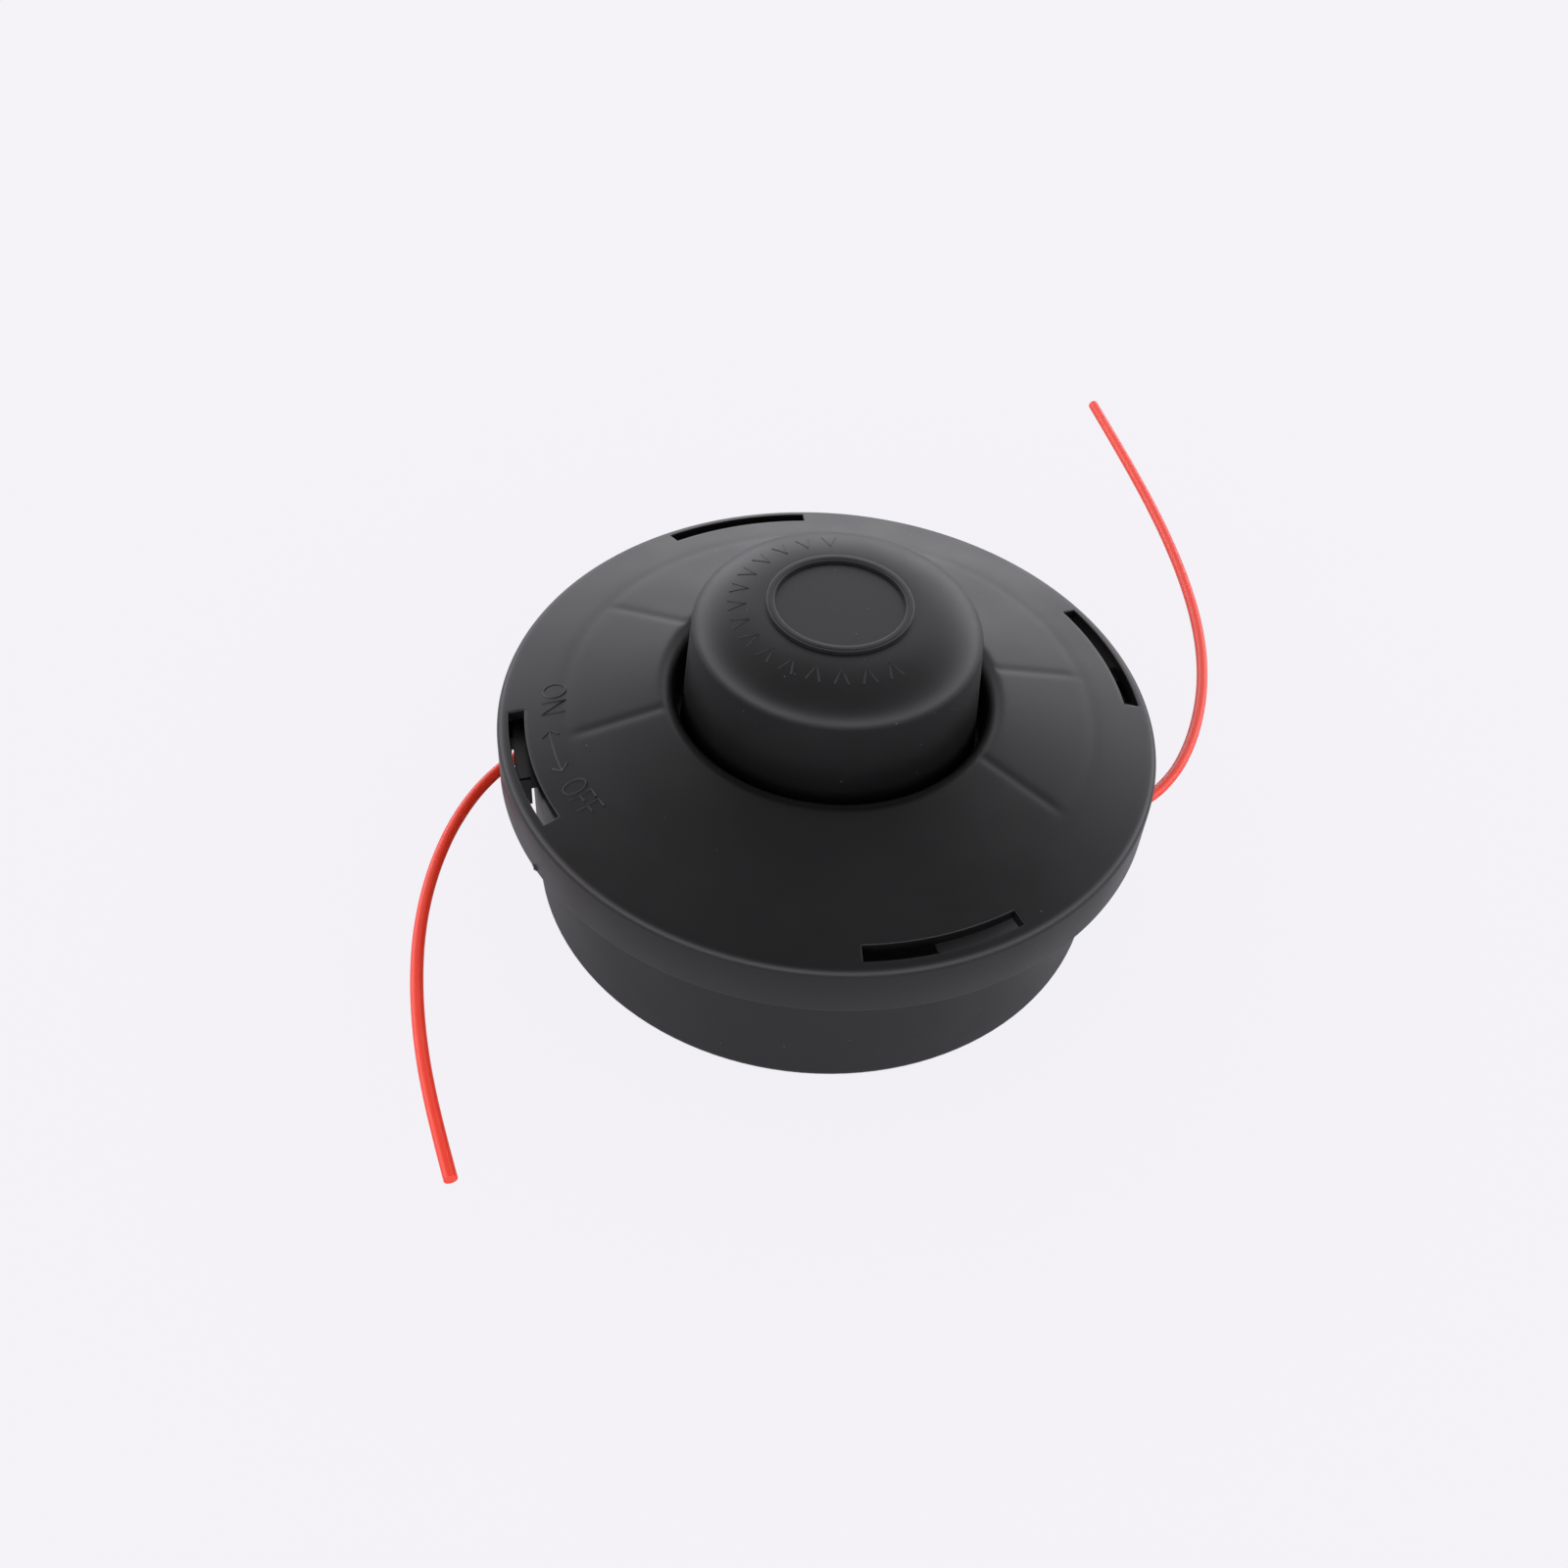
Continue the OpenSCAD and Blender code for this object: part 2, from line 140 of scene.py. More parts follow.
@contextmanager
def editing(piece: Piece, kind: str = "VERT") -> Iterator[None]:
    """Opens a piece in edit mode with nothing selected, and closes it again.

    Args:
        piece: the mesh to edit.
        kind: what is selected in it, VERT, EDGE or FACE.

    Yields:
        Nothing; operators act on the open piece.
    """
    activate(piece)
    bpy.ops.object.mode_set(mode="EDIT")
    bpy.ops.mesh.select_mode(type=kind)
    bpy.ops.mesh.select_all(action="DESELECT")
    yield
    bpy.ops.object.mode_set(mode="OBJECT")


def pick(piece: Piece, kind: str, rule: Callable[[Any], bool]) -> int:
    """Selects the open piece's vertices, edges or faces that a rule accepts.

    Args:
        piece: the mesh that is open in edit mode.
        kind: verts, edges or faces.
        rule: says of one element whether it is wanted.

    Returns:
        How many were selected.
    """
    mesh = bmesh.from_edit_mesh(piece.data)
    wanted = [item for item in getattr(mesh, kind) if rule(item)]
    for item in wanted:
        item.select_set(True)
    mesh.select_flush_mode()
    bmesh.update_edit_mesh(piece.data)
    return len(wanted)


def apply_modifier(piece: Piece, kind: str, **settings: Any) -> None:
    """Adds a modifier with its settings and applies it to the mesh."""
    activate(piece)
    modifier = piece.modifiers.new(kind.lower(), kind)
    for name, value in settings.items():
        setattr(modifier, name, value)
    bpy.ops.object.modifier_apply(modifier=modifier.name)


def combine(piece: Piece, other: Piece, operation: str) -> None:
    """Joins another solid to a piece or cuts it out, and removes the other.

    Args:
        piece: the mesh that is kept.
        other: the solid that is added or cut away.
        operation: UNION or DIFFERENCE.
    """
    apply_modifier(piece, "BOOLEAN", operation=operation, object=other, solver="MANIFOLD")
    bpy.data.objects.remove(other, do_unlink=True)


def join(pieces: Sequence[Piece]) -> Piece:
    """Joins meshes into the first of them."""
    activate(pieces[0])
    for piece in pieces:
        piece.select_set(True)
    bpy.ops.object.join()
    return pieces[0]


def draw_outline(name: str, points: Sequence[Flat]) -> Piece:
    """Draws a closed outline in the XZ plane, one extruded corner after the other.

    Args:
        name: name of the new mesh.
        points: radius and height of each corner, in order.

    Returns:
        The mesh, with the outline filled by one face.
    """
    deselect_all()
    bpy.ops.mesh.primitive_plane_add(size=MM)
    piece = bpy.context.active_object
    piece.name = name
    with editing(piece):
        bpy.ops.mesh.select_all(action="SELECT")
        bpy.ops.mesh.merge(type="CENTER")
        bpy.ops.transform.translate(value=(points[0][0], 0.0, points[0][1]))
        for start, end in zip(points, points[1:]):
            step = (end[0] - start[0], 0.0, end[1] - start[1])
            bpy.ops.mesh.extrude_vertices_move(TRANSFORM_OT_translate={"value": step})
        bpy.ops.mesh.select_all(action="SELECT")
        bpy.ops.mesh.edge_face_add()
    return piece


def close_up(piece: Piece, gap: float = 0.002 * MM) -> None:
    """Merges a mesh's doubles and turns its faces outwards."""
    with editing(piece):
        bpy.ops.mesh.select_all(action="SELECT")
        bpy.ops.mesh.remove_doubles(threshold=gap)
        bpy.ops.mesh.normals_make_consistent(inside=False)


def turn_ring(name: str, points: Sequence[Flat], steps: int) -> Piece:
    """Turns an outline all the way round the spin axis.

    Args:
        name: name of the new mesh.
        points: corners of the outline, off the axis or on it.
        steps: number of steps round the axis.

    Returns:
        A closed mesh.
    """
    piece = draw_outline(name, points)
    with editing(piece):
        bpy.ops.mesh.select_all(action="SELECT")
        bpy.ops.mesh.delete(type="ONLY_FACE")
        bpy.ops.mesh.select_all(action="SELECT")
        bpy.ops.mesh.spin(steps=steps, angle=math.tau, center=(0, 0, 0), axis=(0, 0, 1))
    close_up(piece)
    return piece


def turn_sector(name: str, points: Sequence[Flat], start: float, span: float, step: float = 0.6) -> Piece:
    """Turns an outline over part of a circle, with both ends closed.

    Args:
        name: name of the new mesh.
        points: corners of the outline.
        start: direction of the sector's first end.
        span: angle of the sector.
        step: angle of one step.

    Returns:
        A closed mesh.
    """
    piece = draw_outline(name, points)
    piece.rotation_euler.z = math.radians(start)
    activate(piece)
    bpy.ops.object.transform_apply(location=False, rotation=True, scale=False)
    steps = max(1, round(span / step))
    with editing(piece):
        bpy.ops.mesh.select_all(action="SELECT")
        bpy.ops.mesh.spin(steps=steps, angle=math.radians(span), center=(0, 0, 0), axis=(0, 0, 1))
    close_up(piece)
    return piece


def rectangle(inner: float, outer: float, low: float, high: float) -> list[Flat]:
    """Corners of a rectangle between two radii and two heights."""
    return [(inner, low), (outer, low), (outer, high), (inner, high)]


def block(name: str, low: Point, high: Point, turn: float) -> Piece:
    """A straight bar between two corners, turned about the spin axis and then applied."""
    deselect_all()
    bpy.ops.mesh.primitive_cube_add(size=1.0)
    piece = bpy.context.active_object
    piece.name = name
    size = Vector(high) - Vector(low)
    middle = (Vector(high) + Vector(low)) / 2
    piece.data.transform(Matrix.Translation(middle) @ Matrix.Diagonal((*size, 1.0)))
    piece.data.transform(Matrix.Rotation(math.radians(turn), 4, "Z"))
    return piece


def straight_rib(name: str, points: Sequence[Flat], width: float, turn: float) -> Piece:
    """A straight rib of an even width, turned about the spin axis.

    Args:
        name: name of the new mesh.
        points: corners of the rib's side, by radius and height.
        width: width of the rib.
        turn: direction that it runs in.

    Returns:
        A closed mesh.
    """
    piece = draw_outline(name, points)
    with editing(piece, "FACE"):
        bpy.ops.mesh.select_all(action="SELECT")
        bpy.ops.transform.translate(value=(0.0, -width / 2, 0.0))
        bpy.ops.mesh.extrude_region_move(TRANSFORM_OT_translate={"value": (0.0, width, 0.0)})
    close_up(piece)
    piece.rotation_euler.z = math.radians(turn)
    activate(piece)
    bpy.ops.object.transform_apply(location=False, rotation=True, scale=False)
    return piece


def letter(sign: str, width: float, height: float) -> list[list[Flat]]:
    """The strokes of one of the three letters that the cover carries, along and up."""
    middle = height / 2
    if sign == "O":
        turns = [math.radians(a) for a in between(0.0, 360.0, 28)]
        oval = [(width / 2 * (1 + math.cos(a)), middle * (1 + math.sin(a))) for a in turns]
        return [oval[:-1] + oval[:1]]
    if sign == "N":
        return [[(0.0, 0.0), (0.0, height), (width, 0.0), (width, height)]]
    return [[(0.0, 0.0), (0.0, height), (width, height)], [(0.0, middle), (0.85 * width, middle)]]


def smooth(piece: Piece, angle: float = 32.0) -> None:
    """Shades a piece smooth except across edges sharper than an angle."""
    activate(piece)
    bpy.ops.object.shade_smooth_by_angle(angle=math.radians(angle))


def beads(name: str, lines: Iterable[Sequence[Vector]], radius: float) -> Piece:
    """Raised strokes of a moulded mark: a round bead along each line.

    Args:
        name: name of the new mesh.
        lines: the points of each stroke, closed where its first point is repeated.
        radius: radius of the bead.

    Returns:
        One mesh of all the strokes.
    """
    curve = bpy.data.curves.new(name, "CURVE")
    curve.dimensions = "3D"
    curve.bevel_depth = radius
    curve.bevel_resolution = 2
    curve.use_fill_caps = True
    for line in lines:
        closed = len(line) > 2 and (line[0] - line[-1]).length < 1e-7
        points = line[:-1] if closed else line
        spline = curve.splines.new("POLY")
        spline.points.add(len(points) - 1)
        for place, point in zip(spline.points, points):
            place.co = (*point, 1.0)
        spline.use_cyclic_u = closed
    piece = bpy.data.objects.new(name, curve)
    bpy.context.scene.collection.objects.link(piece)
    activate(piece)
    bpy.ops.object.convert(target="MESH")
    smooth(bpy.context.active_object, 50.0)
    return bpy.context.active_object


# Materials


def srgb(code: str) -> tuple[float, float, float, float]:
    """Turns an sRGB hex colour such as #fb4a33 into the linear colour that shaders take."""
    values = [int(code[i:i + 2], 16) / 255 for i in (1, 3, 5)]
    linear = [v / 12.92 if v <= 0.04045 else ((v + 0.055) / 1.055) ** 2.4 for v in values]
    return (*linear, 1.0)


def add_node(
    tree: bpy.types.NodeTree,
    kind: str,
    settings: dict[str | int, Any] | None = None,
    links: dict[str | int, bpy.types.NodeSocket] | None = None,
) -> bpy.types.Node:
    """Adds a shader node with its settings and links.

    Args:
        tree: the node tree that gets it.
        kind: the node's type, without the words ShaderNode.
        settings: values by socket name or number, or else by the node's own property.
        links: for each input socket, by name or number, the output that feeds it.

    Returns:
        The new node.
    """
    node = tree.nodes.new("ShaderNode" + kind)
    for key, value in (settings or {}).items():
        if isinstance(key, int) or key in node.inputs:
            node.inputs[key].default_value = value
        else:
            setattr(node, key, value)
    for key, output in (links or {}).items():
        tree.links.new(output, node.inputs[key])
    return node


def new_material(name: str) -> tuple[bpy.types.Material, bpy.types.NodeTree]:
    """An empty node material and its tree."""
    material = bpy.data.materials.new(name)
    material.use_nodes = True
    material.node_tree.nodes.clear()
    return material, material.node_tree


def close_surface(tree: bpy.types.NodeTree, shader: bpy.types.Node) -> None:
    """Links a shader to the material's output."""
    add_node(tree, "OutputMaterial", links={"Surface": shader.outputs[0]})


@dataclass(frozen=True)
class MouldedNylon:
    """Injection moulded black nylon: satin, a little darker in the gloss, with fine grain and dust.

    Attributes:
        name: the finish's name.
        colour: pigment colour.
        roughness: of a clean, even place.
        grain: size of the fine mottling left by the spark-eroded mould, drawn coarser than
            the real 0.1 mm so that it shows.
        grain_depth: height of that mottling.
        flow: size of the soft cloudy patches where the melt cooled unevenly.
        dust_cell: spacing of possible dust specks.
        dust_share: share of those places that carry a speck.
        edge_round: radius that the render gives to edges, as a mould leaves them.
    """

    name: str
    colour: str = "#0b0b0c"
    roughness: float = 0.36
    grain: float = 0.45 * MM
    grain_depth: float = 0.006 * MM
    flow: float = 14.0 * MM
    dust_cell: float = 1.7 * MM
    dust_size: float = 0.11 * MM
    dust_share: float = 0.06
    edge_round: float = 0.15 * MM

    def material(self) -> bpy.types.Material:
        """Builds the finish's material."""
        material, tree = new_material(self.name)
        place = add_node(tree, "TexCoord").outputs["Object"]
        grain = add_node(tree, "TexNoise", {"Scale": 1 / self.grain, "Detail": 2.0}, {"Vector": place})
        flow = add_node(tree, "TexNoise", {"Scale": 1 / self.flow, "Detail": 3.0}, {"Vector": place})
        rough = add_node(
            tree, "MapRange",
            {"From Min": 0.3, "From Max": 0.7, "To Min": self.roughness - 0.035, "To Max": self.roughness + 0.035},
            {"Value": flow.outputs[0]},
        )
        edges = add_node(tree, "Bevel", {"samples": 4, "Radius": self.edge_round})
        bump = add_node(
            tree, "Bump", {"Strength": 0.35, "Distance": self.grain_depth},
            {"Height": grain.outputs[0], "Normal": edges.outputs[0]},
        )
        speck = self._dust(tree, place)
        colour = add_node(
            tree, "Mix", {"data_type": "RGBA", 6: srgb(self.colour), 7: srgb("#a9a9ac")},
            {0: speck},
        )
        shader = add_node(
            tree, "BsdfPrincipled", {"IOR": 1.5},
            {"Base Color": colour.outputs[2], "Roughness": rough.outputs[0], "Normal": bump.outputs[0]},
        )
        close_surface(tree, shader)
        return material

    def _dust(self, tree: bpy.types.NodeTree, place: bpy.types.NodeSocket) -> bpy.types.NodeSocket:
        """A mask of sparse small dust specks."""
        cells = add_node(tree, "TexVoronoi", {"Scale": 1 / self.dust_cell}, {"Vector": place})
        near = add_node(
            tree, "MapRange",
            {"From Min": self.dust_size / self.dust_cell, "From Max": 0.6 * self.dust_size / self.dust_cell,
             "To Min": 0.0, "To Max": 0.55},
            {"Value": cells.outputs["Distance"]},
        )
        pick_some = add_node(
            tree, "Math", {"operation": "LESS_THAN", 1: self.dust_share},
            {0: add_node(tree, "SeparateColor", links={0: cells.outputs["Color"]}).outputs[0]},
        )
        return add_node(
            tree, "Math", {"operation": "MULTIPLY"}, {0: near.outputs[0], 1: pick_some.outputs[0]},
        ).outputs[0]


@dataclass(frozen=True)
class LineNylon:
    """Extruded nylon monofilament: translucent orange red, glossy, with faint draw lines.

    Attributes:
        name: the finish's name.
        colour: dye colour.
        roughness: of the drawn skin.
        scatter: how far light travels inside.
    """

    name: str
    colour: str = "#ff4a31"
    roughness: float = 0.32
    scatter: float = 1.0 * MM

    def material(self) -> bpy.types.Material:
        """Builds the finish's material."""
        material, tree = new_material(self.name)
        place = add_node(tree, "TexCoord").outputs["Object"]
        cloud = add_node(tree, "TexNoise", {"Scale": 1 / (6 * MM), "Detail": 2.0}, {"Vector": place})
        tone = add_node(
            tree, "Mix", {"data_type": "RGBA", 6: srgb(self.colour), 7: srgb("#f83d24")},
            {0: cloud.outputs[0]},
        )
        skin = add_node(tree, "TexNoise", {"Scale": 1 / (0.5 * MM), "Detail": 1.0}, {"Vector": place})
        bump = add_node(tree, "Bump", {"Strength": 0.2, "Distance": 0.01 * MM}, {"Height": skin.outputs[0]})
        shader = add_node(
            tree, "BsdfPrincipled",
            {"IOR": 1.53, "Roughness": self.roughness, "Subsurface Weight": 0.5,
             "Subsurface Radius": (1.0, 0.25, 0.12), "Subsurface Scale": self.scatter},
            {"Base Color": tone.outputs[2], "Normal": bump.outputs[0]},
        )
        close_surface(tree, shader)
        return material


class Lay(Enum):
    """The way that tool marks run on a turned or drawn metal."""

    RINGS = "rings round the axis"
    ALONG = "streaks along the wire"


@dataclass(frozen=True)
class PlatedSteel:
    """Zinc plated steel: bright grey, with fine tool marks under the plating.

    Attributes:
        name: the finish's name.
        colour: reflected colour.
        roughness: of a clean, even place.
        mark: spacing of the tool marks.
        lay: the way that they run.
    """

    name: str
    colour: str = "#b9babd"
    roughness: float = 0.3
    mark: float = 0.3 * MM
    lay: Lay = Lay.RINGS

    def material(self) -> bpy.types.Material:
        """Builds the finish's material."""
        material, tree = new_material(self.name)
        place = add_node(tree, "TexCoord").outputs["Object"]
        if self.lay is Lay.RINGS:
            marks = add_node(
                tree, "TexWave",
                {"wave_type": "RINGS", "rings_direction": "Z", "Scale": 0.05 / self.mark, "Distortion": 2.0,
                 "Detail": 2.0},
                {"Vector": place},
            ).outputs["Fac"]
        else:
            marks = add_node(tree, "TexNoise", {"Scale": 1 / self.mark, "Detail": 3.0}, {"Vector": place}).outputs[0]
        patches = add_node(tree, "TexNoise", {"Scale": 1 / (3 * MM), "Detail": 3.0}, {"Vector": place})
        rough = add_node(
            tree, "MapRange",
            {"From Min": 0.3, "From Max": 0.7, "To Min": self.roughness - 0.06, "To Max": self.roughness + 0.06},
            {"Value": patches.outputs[0]},
        )
        edges = add_node(tree, "Bevel", {"samples": 4, "Radius": 0.15 * MM})
        bump = add_node(
            tree, "Bump", {"Strength": 0.3, "Distance": 0.01 * MM},
            {"Height": marks, "Normal": edges.outputs[0]},
        )
        shader = add_node(
            tree, "BsdfPrincipled", {"Base Color": srgb(self.colour), "Metallic": 1.0},
            {"Roughness": rough.outputs[0], "Normal": bump.outputs[0]},
        )
        close_surface(tree, shader)
        return material


def settle(piece: Piece, body: Body, material: bpy.types.Material, replaces: str | None = None) -> Piece:
    """Dresses a finished piece and hangs it on the body that carries it.

    Args:
        piece: the finished piece.
        body: the body that it moves with.
        material: its material.
        replaces: the node that it stands for, if any.

    Returns:
        The piece.
    """
    piece.data.materials.clear()
    piece.data.materials.append(material)
    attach(piece, body.value)
    if replaces:
        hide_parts(replaces)
    log.info("%s rides on %s", piece.name, body.value)
    return piece


# The camera and the studio


@dataclass
class Camera:
    """The photograph's camera, fitted to the outlines of cover, knob, seam and foot."""

    place: Point = (0.0, -238.64 * MM, 267.78 * MM)
    aim: Point = (-7.2 * MM, -10.75 * MM, 30.4 * MM)
    roll: float = 4.804
    lens_mm: float = 38.617

    def build(self) -> None:
        """Adds the camera and makes it the scene's."""
        forward = (Vector(self.aim) - Vector(self.place)).normalized()
        level = forward.cross(Vector((0, 0, 1))).normalized()
        right = Matrix.Rotation(math.radians(-self.roll), 3, forward) @ level
        up = right.cross(forward)
        data = bpy.data.cameras.new("photo_camera")
        data.lens = self.lens_mm
        data.sensor_width = 36.0
        data.clip_start = 10 * MM
        camera = bpy.data.objects.new("photo_camera", data)
        turn = Matrix((right, up, -forward)).transposed()
        camera.matrix_world = Matrix.Translation(self.place) @ turn.to_4x4()
        bpy.context.scene.collection.objects.link(camera)
        bpy.context.scene.camera = camera


@dataclass
class Studio:
    """A pale floor that shines softly, bright surroundings low down and a dim ceiling."""

    backdrop: str = "#faf8fd"
    floor_colour: str = "#bdbcc0"
    floor_size: float = 6.0
    glossy_share: float = 0.3
    shadow_share: float = 0.1
    low_light: float = 2.3
    high_light: float = 0.3

    def build(self) -> None:
        """Adds the floor and the world."""
        self._floor()
        self._world()

    def _floor(self) -> None:
        """The floor: its own colour to the camera, with a little of the shadow."""
        deselect_all()
        bpy.ops.mesh.primitive_plane_add(size=self.floor_size)
        floor = bpy.context.active_object
        floor.name = "floor"
        material, tree = new_material("pale_floor")
        diffuse = add_node(tree, "BsdfDiffuse", {"Color": srgb(self.floor_colour)})
        glow = add_node(tree, "Emission", {"Color": srgb(self.backdrop), "Strength": 1.0})
        ray = add_node(tree, "LightPath")
        mirrored = add_node(
            tree, "Math", {"operation": "MULTIPLY", 1: self.glossy_share}, {0: ray.outputs["Is Glossy Ray"]},
        )
        seen = add_node(
            tree, "Math", {"operation": "MAXIMUM"},
            {0: ray.outputs["Is Camera Ray"], 1: mirrored.outputs[0]},
        )
        seen = add_node(
            tree, "Math", {"operation": "MAXIMUM"},
            {0: seen.outputs[0], 1: ray.outputs["Is Transmission Ray"]},
        )
        share = add_node(
            tree, "Math", {"operation": "MULTIPLY", 1: 1 - self.shadow_share}, {0: seen.outputs[0]},
        )
        mix = add_node(
            tree, "MixShader", links={0: share.outputs[0], 1: diffuse.outputs[0], 2: glow.outputs[0]},
        )
        close_surface(tree, mix)
        floor.data.materials.append(material)

    def _world(self) -> None:
        """The surroundings: bright up to a third of the way to the ceiling, dim above."""
        world = bpy.data.worlds.new("studio")
        world.use_nodes = True
        tree = world.node_tree
        tree.nodes.clear()
        up = add_node(
            tree, "SeparateXYZ", links={0: add_node(tree, "TexCoord").outputs["Generated"]},
        ).outputs[2]
        level = add_node(
            tree, "MapRange",
            {"interpolation_type": "SMOOTHSTEP", "From Min": 0.25, "From Max": 0.85,
             "To Min": self.low_light, "To Max": self.high_light},
            {"Value": up},
        )
        light = add_node(
            tree, "Background", {"Color": srgb("#fbfaff")}, {"Strength": level.outputs[0]},
        )
        shown = add_node(tree, "Background", {"Color": srgb(self.backdrop), "Strength": 1.0})
        ray = add_node(tree, "LightPath")
        mix = add_node(
            tree, "MixShader",
            links={0: ray.outputs["Is Camera Ray"], 1: light.outputs[0], 2: shown.outputs[0]},
        )
        add_node(tree, "OutputWorld", links={"Surface": mix.outputs[0]})
        bpy.context.scene.world = world


# The line tails


class Side(Enum):
    """The two sides that line leaves the head on."""

    RIGHT = "right"
    LEFT = "left"


@dataclass
class LineTail:
    """One free end of trimmer line, from beside the wound line out through its eyelet.

    Attributes:
        side: the side that it leaves on.
        route_mm: the points of its centre line, the same as in the part's source.
        exit_mm: where it passes the eyelet's outer lip; not used.
        length: its whole length; not used.
        diameter: the line's diameter.
        even_out: how often the points are averaged with their neighbours, since stiff line
            has no small kinks.
    """

    side: Side
    route_mm: Sequence[Point]
    exit_mm: Point
    length: float
    diameter: float = 2.4 * MM
    even_out: int = 2

    def build(self, material: bpy.types.Material) -> Piece:
        name = "line_tail_" + self.side.value
        points = [Vector(p) * MM for p in self.route_mm]
        for _ in range(self.even_out):
            inner = [(a + 2 * b + c) / 4 for a, b, c in zip(points, points[1:], points[2:])]
            points = [points[0], *inner, points[-1]]
        curve = bpy.data.curves.new(name + "_nylon", "CURVE")
        curve.dimensions = "3D"
        curve.bevel_depth = self.diameter / 2
        curve.bevel_resolution = 5
        curve.resolution_u = 8
        curve.use_fill_caps = True
        spline = curve.splines.new("BEZIER")
        spline.bezier_points.add(len(points) - 1)
        for i, knot in enumerate(spline.bezier_points):
            before = points[max(i - 1, 0)]
            after = points[min(i + 1, len(points) - 1)]
            knot.handle_left_type = knot.handle_right_type = "FREE"
            knot.co = points[i]
            knot.handle_left = points[i] - (after - before) / 6
            knot.handle_right = points[i] + (after - before) / 6
        piece = bpy.data.objects.new(name + "_nylon", curve)
        bpy.context.scene.collection.objects.link(piece)
        settle(piece, Body.HOUSING, material, name)
        return piece


RIGHT_TAIL = LineTail(
    Side.RIGHT,
    [(41, -20.5, 22), (45.5, -15, 22), (50.5, -9, 22), (56, -4, 21.9), (61.5, -0.5, 21.6),
     (66, 3.5, 21.3), (71, 9, 21.1), (74.5, 14.5, 21), (78.5, 25.5, 21), (81.5, 38, 21),
     (82.5, 51.5, 21), (82, 65, 21), (80, 78.5, 20.9), (77.5, 92.5, 20.8), (74, 106.5, 20.7),
     (70, 120.5, 20.6), (65.5, 135, 20.5), (61, 149.5, 20.4)],
    exit_mm=(58.2, -2.6, 21.8),
    length=187.7 * MM,
)
LEFT_TAIL = LineTail(
    Side.LEFT,
    [(-41, 20.5, 22), (-45.5, 14.5, 22), (-50.5, 9, 22), (-56, 4, 21.9), (-61, -0.5, 21.6),
     (-65.5, -6, 21.3), (-69, -13, 21.1), (-71.5, -23, 21), (-72, -32.5, 21), (-72, -42, 21),
     (-71, -51, 21), (-69, -60, 21), (-66.5, -68.5, 20.9), (-64, -76.5, 20.9), (-60.5, -84, 20.8),
     (-57.5, -91, 20.8), (-53.5, -99, 20.7)],
    exit_mm=(-58.2, 2.0, 21.8),
    length=133.7 * MM,
)


# The cover


